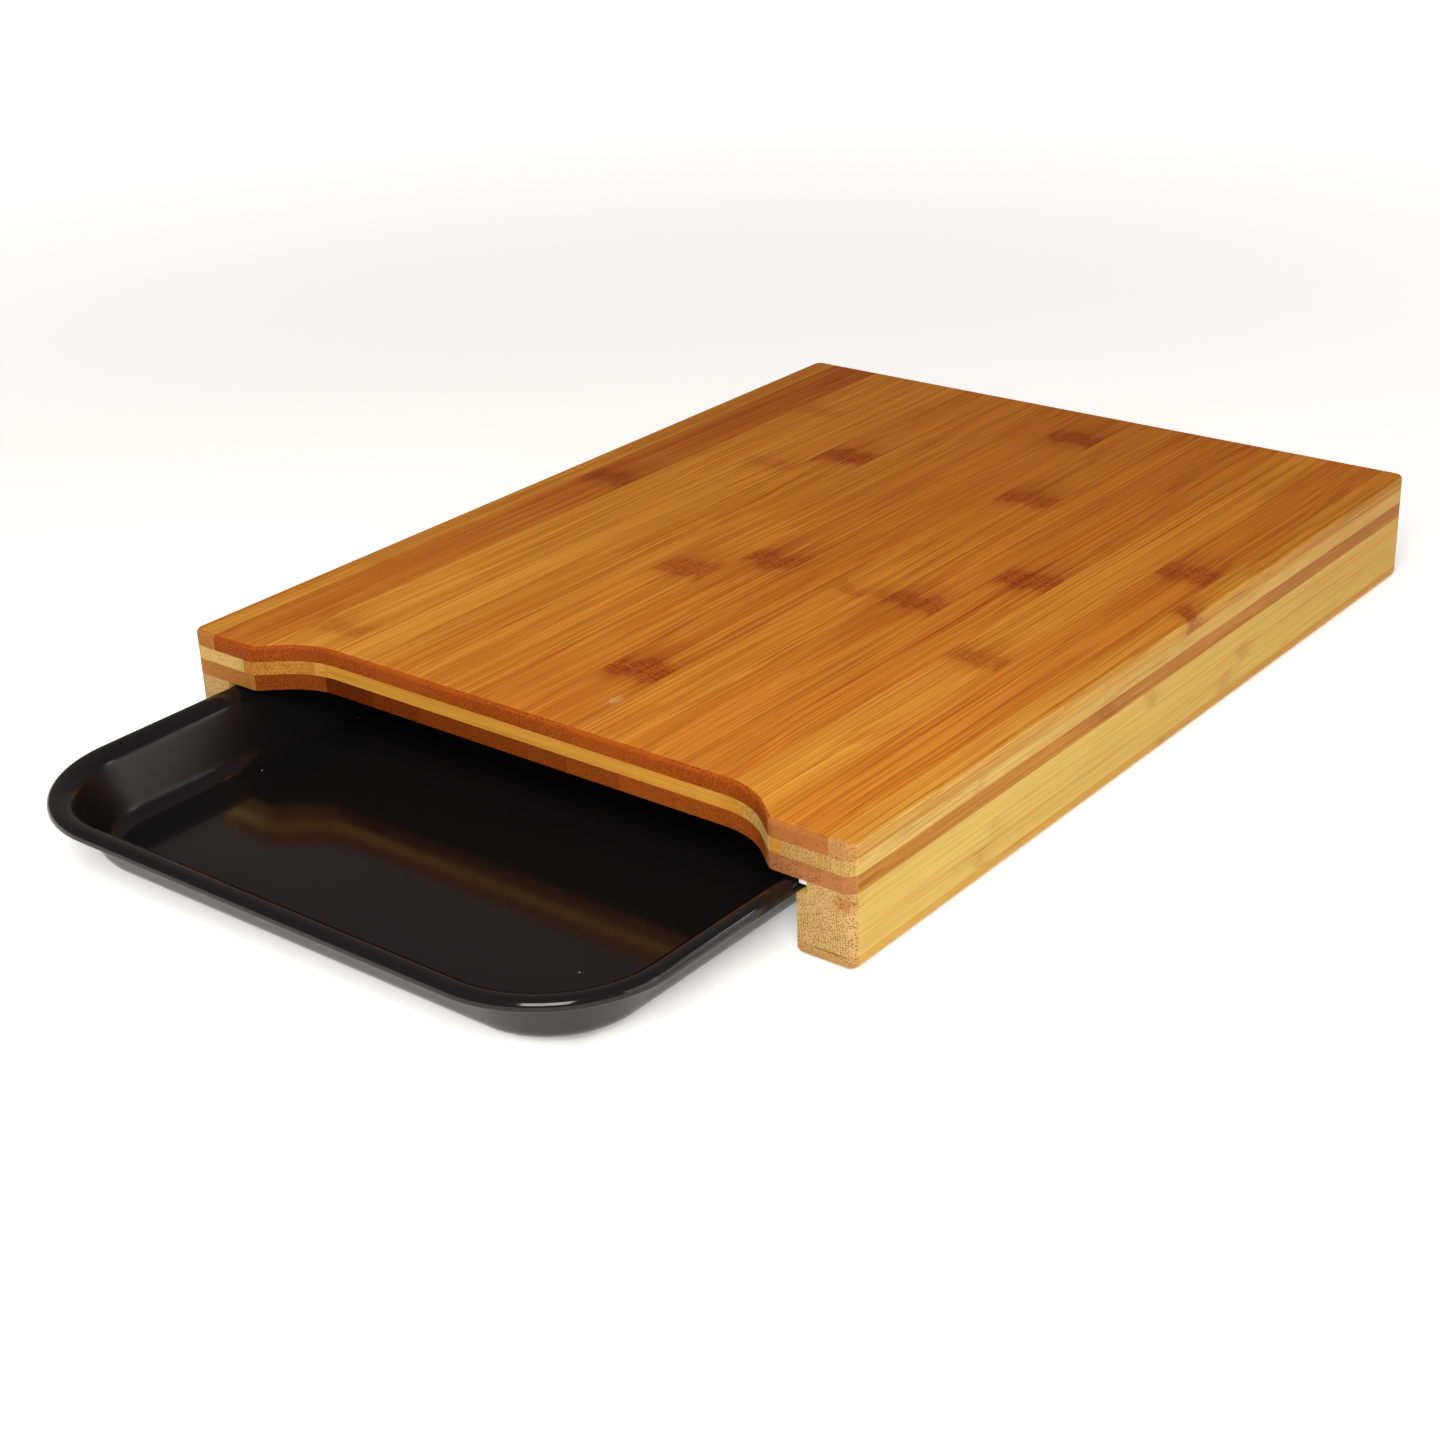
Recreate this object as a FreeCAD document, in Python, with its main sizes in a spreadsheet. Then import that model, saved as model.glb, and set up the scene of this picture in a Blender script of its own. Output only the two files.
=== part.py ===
import FreeCAD, Part
import Sketcher
import math
import os

os.makedirs("parts", exist_ok=True)
doc = FreeCAD.newDocument("cutting_board")

# Driving dimensions, in millimetres and degrees.
# +X runs to the right along the front edge, +Y from the front edge to the back, +Z up.
SIZES = {
    # laminated board
    "board_width": 292,
    "board_length": 381,
    "top_ply": 6,
    "core_ply": 5,
    "bottom_ply": 6,
    "corner_radius": 4,
    "top_arris": 1.8,
    # sweep notch in the front edge
    "notch_mouth": 230,
    "notch_depth": 14,
    "notch_flank_angle": 40.5,
    "notch_floor_radius": 31,
    "notch_shoulder_radius": 4.5,
    # staves and slats of the three plies
    "stave_pitch": 22.6,
    "top_first_stave": 11.6,
    "bottom_first_stave": 8.6,
    "core_outer_stave": 8,
    "core_middle_stave": 18.5,
    "core_inner_stave": 23,
    "slat_pitch": 31.75,
    # side rails
    "rail_width": 21,
    "rail_height": 27,
    "rail_strip": 5.4,
    "rail_layer": 7.2,
    "rail_foot_radius": 3.8,
    # groove along each rail for the rim of the tray, open to the bay between the rails
    "groove_width": 4,
    "groove_height": 4.5,
    # rear rail
    "rear_rail_depth": 12,
    # glide pad at the front end of the right groove
    "pad_height": 1.5,
    "pad_length": 12,
    "pad_setback": 0.3,
    "pad_rounding": 0.6,
    "pad_lap": 0.4,
    # tray
    "tray_reach": 105,
    "tray_shut_setback": 1.5,
    "tray_stop_gap": 0.5,
    "rim_left_play": 0.7,
    "rim_right_play": 3,
    "rim_seat_gap": 0.1,
    "rim_thickness": 3.5,
    "rim_overhang": 7,
    "rim_corner_radius": 46,
    "rim_outer_round": 2.6,
    "rim_crest": 0.3,
    "rim_lower_round": 0.4,
    "tray_wall": 2,
    "tray_wall_angle": 26,
    "tray_ground_gap": 2,
    "tray_bend": 8,
}

dims = doc.addObject("Spreadsheet::Sheet", "dims")
for row, (alias, size) in enumerate(SIZES.items(), start=1):
    dims.set(f"A{row}", alias)
    dims.set(f"B{row}", str(size))
    dims.setAlias(f"B{row}", alias)
doc.recompute()

# Places that several pieces share, as expressions on the sheet.
HALF_WIDTH = "(dims.board_width / 2)"
BAY_HALF = f"({HALF_WIDTH} - dims.rail_width)"
GROOVE_HALF = f"({BAY_HALF} + dims.groove_width)"
LEDGE_Z = "(dims.rail_height - dims.groove_height)"
SLAB = "(dims.bottom_ply + dims.core_ply + dims.top_ply)"
CORE_Z = "(dims.rail_height + dims.bottom_ply)"
TOP_PLY_Z = f"({CORE_Z} + dims.core_ply)"
TOP_Z = f"({TOP_PLY_Z} + dims.top_ply)"
NOTCH_HALF = "(dims.notch_mouth / 2)"
NOTCH_RUN = "(dims.notch_depth / tan(dims.notch_flank_angle * 1 deg))"
NOTCH_FLOOR_HALF = f"({NOTCH_HALF} - {NOTCH_RUN})"

# The origin lies on the table, under the middle of the board with its tray drawn.
FRONT_Y = "((dims.tray_reach - dims.board_length) / 2)"
BACK_Y = f"({FRONT_Y} + dims.board_length)"

sub_parts = []


def value(expression):
    """The number that an expression on the sheet gives now."""
    result = dims.evalExpression(expression)
    return float(getattr(result, "Value", result))


def place(thing, across="0", along="0", up="0"):
    thing.setExpression("Placement.Base.x", across)
    thing.setExpression("Placement.Base.y", along)
    thing.setExpression("Placement.Base.z", up)


def new_body(name, across="0", along="0", up="0"):
    body = doc.addObject("PartDesign::Body", name)
    place(body, across, along, up)
    return body


def new_sketch(body, plane, name, lift=None):
    """A sketch on one of the body's own origin planes, lifted off it by an expression."""
    sketch = body.newObject("Sketcher::SketchObject", name)
    support = [f for f in body.Origin.OriginFeatures if f.Role == plane][0]
    sketch.AttachmentSupport = [(support, "")]
    sketch.MapMode = "FlatFace"
    if lift:
        sketch.setExpression("AttachmentOffset.Base.z", lift)
    return sketch


def hold(sketch, kind, *where, by):
    """A driving constraint whose value follows an expression on the sheet."""
    index = sketch.addConstraint(Sketcher.Constraint(kind, *where, value(by)))
    sketch.setExpression(f"Constraints[{index}]", by)


def draw_polygon(sketch, corners):
    """A closed outline of straight lines, each corner held from the origin."""
    points = [FreeCAD.Vector(value(across), value(up), 0) for across, up in corners]
    count = len(points)
    for i in range(count):
        sketch.addGeometry(Part.LineSegment(points[i], points[(i + 1) % count]))
    for i in range(count):
        sketch.addConstraint(Sketcher.Constraint("Coincident", i, 2, (i + 1) % count, 1))
    for i, (across, up) in enumerate(corners):
        hold(sketch, "DistanceX", -1, 1, i, 1, by=across)
        hold(sketch, "DistanceY", -1, 1, i, 1, by=up)


def draw_rounded_rectangle(sketch, half, near, far, radius):
    """A rectangle centred on the vertical axis from near to far, with four equal corner arcs."""
    w, y0, y1, r = value(half), value(near), value(far), value(radius)
    centres = [(w - r, y0 + r), (w - r, y1 - r), (r - w, y1 - r), (r - w, y0 + r)]
    sides = [((r - w, y0), (w - r, y0)), ((w, y0 + r), (w, y1 - r)),
             ((w - r, y1), (r - w, y1)), ((-w, y1 - r), (-w, y0 + r))]
    for i, ((xa, ya), (xb, yb)) in enumerate(sides):
        sketch.addGeometry(Part.LineSegment(FreeCAD.Vector(xa, ya, 0), FreeCAD.Vector(xb, yb, 0)))
        circle = Part.Circle(FreeCAD.Vector(*centres[i], 0), FreeCAD.Vector(0, 0, 1), r)
        start = (i - 1) * math.pi / 2
        sketch.addGeometry(Part.ArcOfCircle(circle, start, start + math.pi / 2))
    for i in range(4):
        line, arc, next_line = 2 * i, 2 * i + 1, (2 * i + 2) % 8
        sketch.addConstraint(Sketcher.Constraint("Tangent", line, 2, arc, 1))
        sketch.addConstraint(Sketcher.Constraint("Tangent", arc, 2, next_line, 1))
        sketch.addConstraint(Sketcher.Constraint("Vertical" if i % 2 else "Horizontal", line))
    for arc in (3, 5, 7):
        sketch.addConstraint(Sketcher.Constraint("Equal", 1, arc))
    hold(sketch, "Radius", 1, by=radius)
    hold(sketch, "DistanceX", -1, 1, 2, 1, by=half)
    hold(sketch, "DistanceX", -1, 1, 6, 1, by=f"-{half}")
    hold(sketch, "DistanceY", -1, 1, 0, 1, by=near)
    hold(sketch, "DistanceY", -1, 1, 4, 1, by=far)


def add_pad(body, sketch, name, length, backwards=False, taper=None):
    """A pad of the sketch; backwards goes against the sketch's normal."""
    pad = body.newObject("PartDesign::Pad", name)
    pad.Profile = sketch
    pad.setExpression("Length", length)
    pad.Reversed = backwards
    if taper:
        pad.setExpression("TaperAngle", taper)
    sketch.Visibility = False
    doc.recompute()
    return pad


def add_pocket(body, sketch, name, depth, upwards=False, taper=None):
    """A pocket of the sketch, which must take material away."""
    before = body.Shape.Volume
    pocket = body.newObject("PartDesign::Pocket", name)
    pocket.Profile = sketch
    pocket.setExpression("Length", depth)
    pocket.Reversed = upwards
    if taper:
        pocket.setExpression("TaperAngle", taper)
    doc.recompute()
    assert body.Shape.Volume < before - 1, f"{name} cuts nothing"
    return pocket


def add_fillet(body, base, edges, name, radius):
    assert edges, f"{name} found no edge"
    fillet = body.newObject("PartDesign::Fillet", name)
    fillet.Base = (base, edges)
    fillet.setExpression("Radius", radius)
    doc.recompute()
    assert fillet.isValid(), f"{name} failed"
    return fillet


NEAR = 0.01


def edges_where(feature, test):
    """Names of the edges whose bounding box passes the test."""
    return [f"Edge{i}" for i, edge in enumerate(feature.Shape.Edges, start=1) if test(edge.BoundBox)]


def upright_edges(feature, spots):
    """Names of the edges that stand straight up at the given (x, y) expressions."""
    places = [(value(x), value(y)) for x, y in spots]

    def stands_there(box):
        return box.XLength < NEAR and box.YLength < NEAR and any(
            abs(box.XMin - x) < NEAR and abs(box.YMin - y) < NEAR for x, y in places)

    return edges_where(feature, stands_there)


def level_loops(feature, height):
    """Edge names of the level face at a height: its outer loop, then all its inner loops."""
    shape = feature.Shape
    z = value(height)
    face = max((f for f in shape.Faces
                if f.BoundBox.ZLength < NEAR and abs(f.BoundBox.ZMin - z) < NEAR),
               key=lambda f: f.Area)
    loops = [face.OuterWire] + [w for w in face.Wires if not w.isSame(face.OuterWire)]
    names = [[f"Edge{i}" for i, edge in enumerate(shape.Edges, start=1)
              if any(edge.isSame(e) for e in loop.Edges)] for loop in loops]
    return names[0], sum(names[1:], [])


def saw_out(label, blank, across, along, up):
    """One stave, slat or layer: the part of a milled blank between three pairs of planes."""
    cutter = doc.addObject("Part::Box", f"{label}_saw")
    for size, (low, high) in zip(("Length", "Width", "Height"), (across, along, up)):
        cutter.setExpression(size, f"({high}) - ({low})")
    place(cutter, across[0], along[0], up[0])
    piece = doc.addObject("Part::Common", label)
    piece.Base = blank
    piece.Tool = cutter
    piece.Label = label
    sub_parts.append(piece)


def strip_starts(span, first, pitch):
    """Where each strip of a ply starts, as expressions; the last one takes what is left."""
    least_share = 0.25
    more = math.ceil((value(span) - value(first)) / value(pitch) - least_share)
    return ["0"] + [f"({first} + {k} * {pitch})" for k in range(more)]


# Laminated slab, glued up and then milled to its outline, notch and rounded edges
slab = new_body("milled_slab", along=FRONT_Y, up="dims.rail_height")
outline = new_sketch(slab, "XY_Plane", "slab_outline")
draw_polygon(outline, [
    (f"-{HALF_WIDTH}", "0"),
    (HALF_WIDTH, "0"),
    (HALF_WIDTH, "dims.board_length"),
    (f"-{HALF_WIDTH}", "dims.board_length"),
])
slab_pad = add_pad(slab, outline, "slab_thickness", SLAB)

notch = new_sketch(slab, "XY_Plane", "notch_outline")
draw_polygon(notch, [
    (f"-{NOTCH_HALF}", "-dims.notch_depth"),
    (NOTCH_HALF, "-dims.notch_depth"),
    (NOTCH_HALF, "0"),
    (NOTCH_FLOOR_HALF, "dims.notch_depth"),
    (f"-{NOTCH_FLOOR_HALF}", "dims.notch_depth"),
    (f"-{NOTCH_HALF}", "0"),
])
notch_cut = add_pocket(slab, notch, "sweep_notch", SLAB, upwards=True)

floor_corners = [(NOTCH_FLOOR_HALF, "dims.notch_depth"), (f"-{NOTCH_FLOOR_HALF}", "dims.notch_depth")]
bend = add_fillet(slab, notch_cut, upright_edges(notch_cut, floor_corners),
                  "notch_floor_bends", "dims.notch_floor_radius")

shoulders = [(NOTCH_HALF, "0"), (f"-{NOTCH_HALF}", "0")]
rounded = add_fillet(slab, bend, upright_edges(bend, shoulders),
                     "notch_shoulders", "dims.notch_shoulder_radius")
corners = [(f"{sign}{HALF_WIDTH}", y) for sign in ("", "-") for y in ("0", "dims.board_length")]
rounded = add_fillet(slab, rounded, upright_edges(rounded, corners),
                     "slab_corners", "dims.corner_radius")
top_loop, _ = level_loops(rounded, SLAB)
add_fillet(slab, rounded, top_loop, "slab_top_edge", "dims.top_arris")


def saw_ply(name, first, low, high):
    """A ply of lengthwise staves, numbered from the left."""
    starts = strip_starts("dims.board_width", first, "dims.stave_pitch")
    ends = starts[1:] + ["dims.board_width"]
    for number, (start, end) in enumerate(zip(starts, ends), start=1):
        saw_out(f"{name}_stave_{number:02d}", slab,
                (f"({start} - {HALF_WIDTH})", f"({end} - {HALF_WIDTH})"),
                (FRONT_Y, BACK_Y), (low, high))


saw_ply("top", "dims.top_first_stave", TOP_PLY_Z, TOP_Z)
saw_ply("bottom", "dims.bottom_first_stave", "dims.rail_height", CORE_Z)

# Core: lengthwise border staves at both sides, slats across between them
LEFT_1 = f"(dims.core_outer_stave - {HALF_WIDTH})"
LEFT_2 = f"({LEFT_1} + dims.core_middle_stave)"
LEFT_3 = f"({LEFT_2} + dims.core_inner_stave)"
RIGHT_1 = f"({HALF_WIDTH} - dims.core_outer_stave)"
RIGHT_2 = f"({RIGHT_1} - dims.core_middle_stave)"
for label, left, right in (
    ("core_left_outer_stave", f"-{HALF_WIDTH}", LEFT_1),
    ("core_left_middle_stave", LEFT_1, LEFT_2),
    ("core_left_inner_stave", LEFT_2, LEFT_3),
    ("core_right_middle_stave", RIGHT_2, RIGHT_1),
    ("core_right_outer_stave", RIGHT_1, HALF_WIDTH),
):
    saw_out(label, slab, (left, right), (FRONT_Y, BACK_Y), (CORE_Z, TOP_PLY_Z))

slat_starts = strip_starts("dims.board_length", "dims.slat_pitch", "dims.slat_pitch")
for number, (start, end) in enumerate(zip(slat_starts, slat_starts[1:] + ["dims.board_length"]), start=1):
    saw_out(f"core_slat_{number:02d}", slab, (LEFT_3, RIGHT_2),
            (f"({FRONT_Y} + {start})", f"({FRONT_Y} + {end})"), (CORE_Z, TOP_PLY_Z))

# Side rails: one profile with the groove, rounded at the foot, sawn into its four layers
for side, sign in (("left", "-"), ("right", "")):
    rail = new_body(f"{side}_rail_profile", along=FRONT_Y)
    section = new_sketch(rail, "XZ_Plane", f"{side}_rail_section")
    draw_polygon(section, [
        (f"{sign}{HALF_WIDTH}", "0"),
        (f"{sign}{HALF_WIDTH}", "dims.rail_height"),
        (f"{sign}{GROOVE_HALF}", "dims.rail_height"),
        (f"{sign}{GROOVE_HALF}", LEDGE_Z),
        (f"{sign}{BAY_HALF}", LEDGE_Z),
        (f"{sign}{BAY_HALF}", "0"),
    ])
    length = add_pad(rail, section, f"{side}_rail_length", "dims.board_length", backwards=True)
    ends = [(f"{sign}{HALF_WIDTH}", y) for y in ("0", "dims.board_length")]
    corner = add_fillet(rail, length, upright_edges(length, ends),
                        f"{side}_rail_corners", "dims.corner_radius")
    foot_loop, _ = level_loops(corner, "0")
    add_fillet(rail, corner, foot_loop, f"{side}_rail_foot_edge", "dims.rail_foot_radius")

    outer, inner = f"{sign}{HALF_WIDTH}", f"{sign}{BAY_HALF}"
    across = (outer, inner) if sign else (inner, outer)
    layer_tops = ["dims.rail_strip", "(dims.rail_height - 2 * dims.rail_layer)",
                  "(dims.rail_height - dims.rail_layer)", "dims.rail_height"]
    layer_names = ["foot_strip", "lower_layer", "middle_layer", "upper_layer"]
    for layer, low, high in zip(layer_names, ["0"] + layer_tops, layer_tops):
        saw_out(f"{side}_rail_{layer}", rail, across, (FRONT_Y, BACK_Y), (low, high))

# Rear rail between the side rails, which the tray meets when it is shut
rear_rail = new_body("rear_rail", along=f"({BACK_Y} - dims.rear_rail_depth)")
section = new_sketch(rear_rail, "XZ_Plane", "rear_rail_section")
draw_polygon(section, [
    (f"-{BAY_HALF}", "0"),
    (BAY_HALF, "0"),
    (BAY_HALF, "dims.rail_height"),
    (f"-{BAY_HALF}", "dims.rail_height"),
])
rear_pad = add_pad(rear_rail, section, "rear_rail_thickness", "dims.rear_rail_depth", backwards=True)
add_fillet(rear_rail, rear_pad, edges_where(rear_pad, lambda box: box.ZMax < NEAR and box.YLength < NEAR),
           "rear_rail_foot_edges", "dims.rail_foot_radius")
sub_parts.append(rear_rail)

# Glide pad glued into the roof of the right groove. It laps over the rolled shoulder of the
# rim without touching it, and takes up the side play of the tray.
glide_pad = new_body("glide_pad", across=GROOVE_HALF, along=f"({FRONT_Y} + dims.pad_setback)",
                     up="(dims.rail_height - dims.pad_height)")
PAD_THICKNESS = "(dims.rim_right_play + dims.pad_lap)"
footprint = new_sketch(glide_pad, "XY_Plane", "glide_pad_outline")
draw_polygon(footprint, [
    (f"-{PAD_THICKNESS}", "0"),
    ("0", "0"),
    ("0", "dims.pad_length"),
    (f"-{PAD_THICKNESS}", "dims.pad_length"),
])
pad_block = add_pad(glide_pad, footprint, "glide_pad_block", "dims.pad_height")
running_ends = upright_edges(pad_block, [(f"-{PAD_THICKNESS}", "0"), (f"-{PAD_THICKNESS}", "dims.pad_length")])
add_fillet(glide_pad, pad_block, running_ends, "glide_pad_ends", "dims.pad_rounding")
sub_parts.append(glide_pad)

# Tray: one moulding, a shallow pan with sloping walls hung from a rolled rim.
# Its own origin is the front of the rim, at the level of the rim's underside.
RIM_HALF = f"({GROOVE_HALF} - (dims.rim_left_play + dims.rim_right_play) / 2)"
TRAY_X = "((dims.rim_left_play - dims.rim_right_play) / 2)"
TRAY_LENGTH = ("(dims.board_length - dims.rear_rail_depth"
               " - dims.tray_shut_setback - dims.tray_stop_gap)")
PAN_DEPTH = f"({LEDGE_Z} + dims.rim_seat_gap - dims.tray_ground_gap)"
WALL_SLOPE = "tan(dims.tray_wall_angle * 1 deg)"
WALL_ACROSS = "(dims.tray_wall / cos(dims.tray_wall_angle * 1 deg))"
MOUTH_INSET = f"(dims.rim_overhang + {WALL_ACROSS} - dims.rim_thickness * {WALL_SLOPE})"
# The roll into the pan starts past the narrow level crest of the rim.
INNER_ROLL = (f"(({MOUTH_INSET} - dims.rim_outer_round - dims.rim_crest)"
              " / tan((90 - dims.tray_wall_angle) / 2 * 1 deg))")

tray = new_body("drawer_tray", across=TRAY_X, along=f"({FRONT_Y} - dims.tray_reach)",
                up=f"({LEDGE_Z} + dims.rim_seat_gap)")
pan_outline = new_sketch(tray, "XY_Plane", "pan_outline")
draw_rounded_rectangle(pan_outline, f"({RIM_HALF} - dims.rim_overhang)", "dims.rim_overhang",
                       f"({TRAY_LENGTH} - dims.rim_overhang)",
                       "(dims.rim_corner_radius - dims.rim_overhang)")
pan = add_pad(tray, pan_outline, "pan", PAN_DEPTH, backwards=True, taper="-dims.tray_wall_angle")
under_loop, _ = level_loops(pan, f"-{PAN_DEPTH}")
add_fillet(tray, pan, under_loop, "pan_outer_bend", "dims.tray_bend")

rim_outline = new_sketch(tray, "XY_Plane", "rim_outline")
draw_rounded_rectangle(rim_outline, RIM_HALF, "0", TRAY_LENGTH, "dims.rim_corner_radius")
add_pad(tray, rim_outline, "rim", "dims.rim_thickness")

cavity_outline = new_sketch(tray, "XY_Plane", "cavity_outline", lift="dims.rim_thickness")
draw_rounded_rectangle(cavity_outline, f"({RIM_HALF} - {MOUTH_INSET})", MOUTH_INSET,
                       f"({TRAY_LENGTH} - {MOUTH_INSET})", f"(dims.rim_corner_radius - {MOUTH_INSET})")
cavity = add_pocket(tray, cavity_outline, "cavity",
                    f"(dims.rim_thickness + {PAN_DEPTH} - dims.tray_wall)",
                    taper="-dims.tray_wall_angle")
floor_loop, _ = level_loops(cavity, f"(dims.tray_wall - {PAN_DEPTH})")
inner_bend = add_fillet(tray, cavity, floor_loop, "pan_inner_bend", "dims.tray_bend")
outer_loop, mouth_loop = level_loops(inner_bend, "dims.rim_thickness")
mouth = add_fillet(tray, inner_bend, mouth_loop, "rim_inner_roll", INNER_ROLL)
outer_loop, _ = level_loops(mouth, "dims.rim_thickness")
rolled = add_fillet(tray, mouth, outer_loop, "rim_outer_roll", "dims.rim_outer_round")
lower_loop, _ = level_loops(rolled, "0")
add_fillet(tray, rolled, lower_loop, "rim_lower_edge", "dims.rim_lower_round")
sub_parts.append(tray)

doc.recompute()

failed = [thing.Name for thing in doc.Objects if {"Invalid", "Error"} & set(thing.State)]
assert not failed, f"failed objects: {failed}"
for piece in sub_parts:
    assert not piece.Shape.isNull() and piece.Shape.isValid(), f"{piece.Label} has no sound shape"
    assert len(piece.Shape.Solids) == 1, f"{piece.Label} is not one solid"
for piece in sub_parts:
    piece.Shape.exportStep(f"parts/{piece.Label}.step")
print(len(sub_parts), "pieces written")
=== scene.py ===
import math

import bpy
import numpy as np
from mathutils import Matrix, Vector


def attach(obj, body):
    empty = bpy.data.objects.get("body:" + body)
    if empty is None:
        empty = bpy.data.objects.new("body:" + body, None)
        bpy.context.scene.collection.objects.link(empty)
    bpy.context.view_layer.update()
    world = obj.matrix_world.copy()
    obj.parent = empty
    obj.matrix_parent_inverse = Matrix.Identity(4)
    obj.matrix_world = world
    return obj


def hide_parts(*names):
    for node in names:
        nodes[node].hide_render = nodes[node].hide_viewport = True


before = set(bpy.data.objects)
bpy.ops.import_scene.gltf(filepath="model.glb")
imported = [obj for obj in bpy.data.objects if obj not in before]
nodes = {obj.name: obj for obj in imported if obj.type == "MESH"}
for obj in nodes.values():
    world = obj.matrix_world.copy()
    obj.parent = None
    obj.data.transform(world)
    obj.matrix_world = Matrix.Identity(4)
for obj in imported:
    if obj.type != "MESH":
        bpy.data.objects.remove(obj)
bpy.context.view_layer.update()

# ---------------------------------------------------------------------------
# Top ply. Fourteen flat-grain bamboo staves, 22.6 mm wide and edge-glued side by side,
# steamed to a honey colour and sanded and oiled after the slab is milled.
# ---------------------------------------------------------------------------
FRONT_EDGE = -138.0          # mm, where the front edge of the board lies along Y
BOARD_HALF = 146.0
STAVE_PITCH = 22.6
TOP_FIRST = 11.6             # how wide the first stave at the left is

# Two fibre colours for each shade of steamed bamboo, pale and deep (linear RGB).
SHADES = {
    "straw": ((0.640, 0.268, 0.030), (0.470, 0.158, 0.013)),
    "wheat": ((0.598, 0.252, 0.030), (0.438, 0.149, 0.013)),
    "honey": ((0.590, 0.222, 0.022), (0.420, 0.126, 0.009)),
    "amber": ((0.570, 0.202, 0.019), (0.400, 0.112, 0.008)),
    "russet": ((0.520, 0.165, 0.016), (0.360, 0.088, 0.007)),
}
# The oiled ends: dark in the notch, paler at the corners of the board.
NOTCH_END = (0.275, 0.056, 0.006)
LEFT_END = (0.310, 0.118, 0.025)
RIGHT_END = (0.274, 0.096, 0.023)
RIGHT_END_BELOW = (0.268, 0.103, 0.036)
PALE_END = (0.315, 0.155, 0.047)
KNUCKLE_TONE = (0.500, 0.170, 0.140)
GLUE_WIDTH = 0.25            # mm, each side of a glued face
TO_MM = (1000.0, 1000.0, 1000.0)
# The sawn side of an outer stave is paler than its face, and the round between the two is
# given painted shade.
SAWN_SIDE = (1.03, 1.41, 2.25)
PAINTED_EDGE_SHADE = (0.70, 0.65, 0.56)


def add_node(tree, kind, **settings):
    """A node of the given kind in a node tree, with its settings."""
    node = tree.nodes.new(kind)
    for name, setting in settings.items():
        setattr(node, name, setting)
    return node


def feed(tree, socket, source):
    """Gives a socket its source: another node's output is linked, a plain value is set."""
    if isinstance(source, bpy.types.NodeSocket):
        tree.links.new(source, socket)
    elif isinstance(source, tuple) and len(source) == 3 and socket.type == "RGBA":
        socket.default_value = (*source, 1.0)
    else:
        socket.default_value = source


def calc(tree, operation, *sources, clamp=False):
    """The result of one Math node."""
    node = add_node(tree, "ShaderNodeMath", operation=operation, use_clamp=clamp)
    for socket, source in zip(node.inputs, sources):
        feed(tree, socket, source)
    return node.outputs[0]


def vector_calc(tree, operation, *sources):
    """The vector result of one Vector Math node."""
    node = add_node(tree, "ShaderNodeVectorMath", operation=operation)
    for socket, source in zip(node.inputs, sources):
        feed(tree, socket, source)
    return node.outputs[0]


def apart(tree, vector):
    """The three axes of a vector, each as a number."""
    node = add_node(tree, "ShaderNodeSeparateXYZ")
    feed(tree, node.inputs[0], vector)
    return node.outputs


def fade(tree, source, low, high, start=0.0, end=1.0):
    """A smooth step: start below low, end above high."""
    node = add_node(tree, "ShaderNodeMapRange", interpolation_type="SMOOTHSTEP")
    for name, setting in (("Value", source), ("From Min", low), ("From Max", high),
                          ("To Min", start), ("To Max", end)):
        feed(tree, node.inputs[name], setting)
    return node.outputs[0]


def blend_colours(tree, share, first, second, kind="MIX"):
    """first where share is 0, second where it is 1."""
    node = add_node(tree, "ShaderNodeMix", data_type="RGBA", blend_type=kind)
    feed(tree, node.inputs[0], share)
    feed(tree, node.inputs[6], first)
    feed(tree, node.inputs[7], second)
    return node.outputs[2]


def noise_at(tree, place, stretch, detail=2.0, roughness=0.5, distortion=0.0):
    """Noise about 0, from -0.5 to 0.5, at a place in mm stretched by three factors."""
    scaled = vector_calc(tree, "MULTIPLY", place, stretch)
    node = add_node(tree, "ShaderNodeTexNoise")
    feed(tree, node.inputs["Vector"], scaled)
    for name, setting in (("Scale", 1.0), ("Detail", detail), ("Roughness", roughness),
                          ("Distortion", distortion)):
        node.inputs[name].default_value = setting
    return calc(tree, "SUBTRACT", node.outputs[0], 0.5)


def new_material(name):
    """A material with its node tree and its shader."""
    material = bpy.data.materials.new(name)
    material.use_nodes = True
    return material, material.node_tree, material.node_tree.nodes["Principled BSDF"]


def roughen(tree, shader, relief, strength, depth):
    """Gives a shader fine relief: a bump of the given strength, and depth in m."""
    bump = add_node(tree, "ShaderNodeBump")
    bump.inputs["Strength"].default_value = strength
    bump.inputs["Distance"].default_value = depth
    feed(tree, bump.inputs["Height"], relief)
    feed(tree, shader.inputs["Normal"], bump.outputs["Normal"])


def new_group(name, takes, gives):
    """An empty shader node group with named sockets, and its input and output nodes."""
    group = bpy.data.node_groups.new(name, "ShaderNodeTree")
    kinds = {"colour": "NodeSocketColor", "vector": "NodeSocketVector",
             "number": "NodeSocketFloat"}
    for label, kind in takes:
        group.interface.new_socket(name=label, in_out="INPUT", socket_type=kinds[kind])
    for label, kind in gives:
        group.interface.new_socket(name=label, in_out="OUTPUT", socket_type=kinds[kind])
    given = add_node(group, "NodeGroupInput").outputs
    result = add_node(group, "NodeGroupOutput").inputs
    return group, given, result


def use_group(tree, group, **sources):
    """A node group placed in a tree; underscores in the names stand for spaces."""
    node = add_node(tree, "ShaderNodeGroup", node_tree=group)
    for name, source in sources.items():
        feed(tree, node.inputs[name.replace("_", " ")], source)
    return node.outputs


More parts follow.
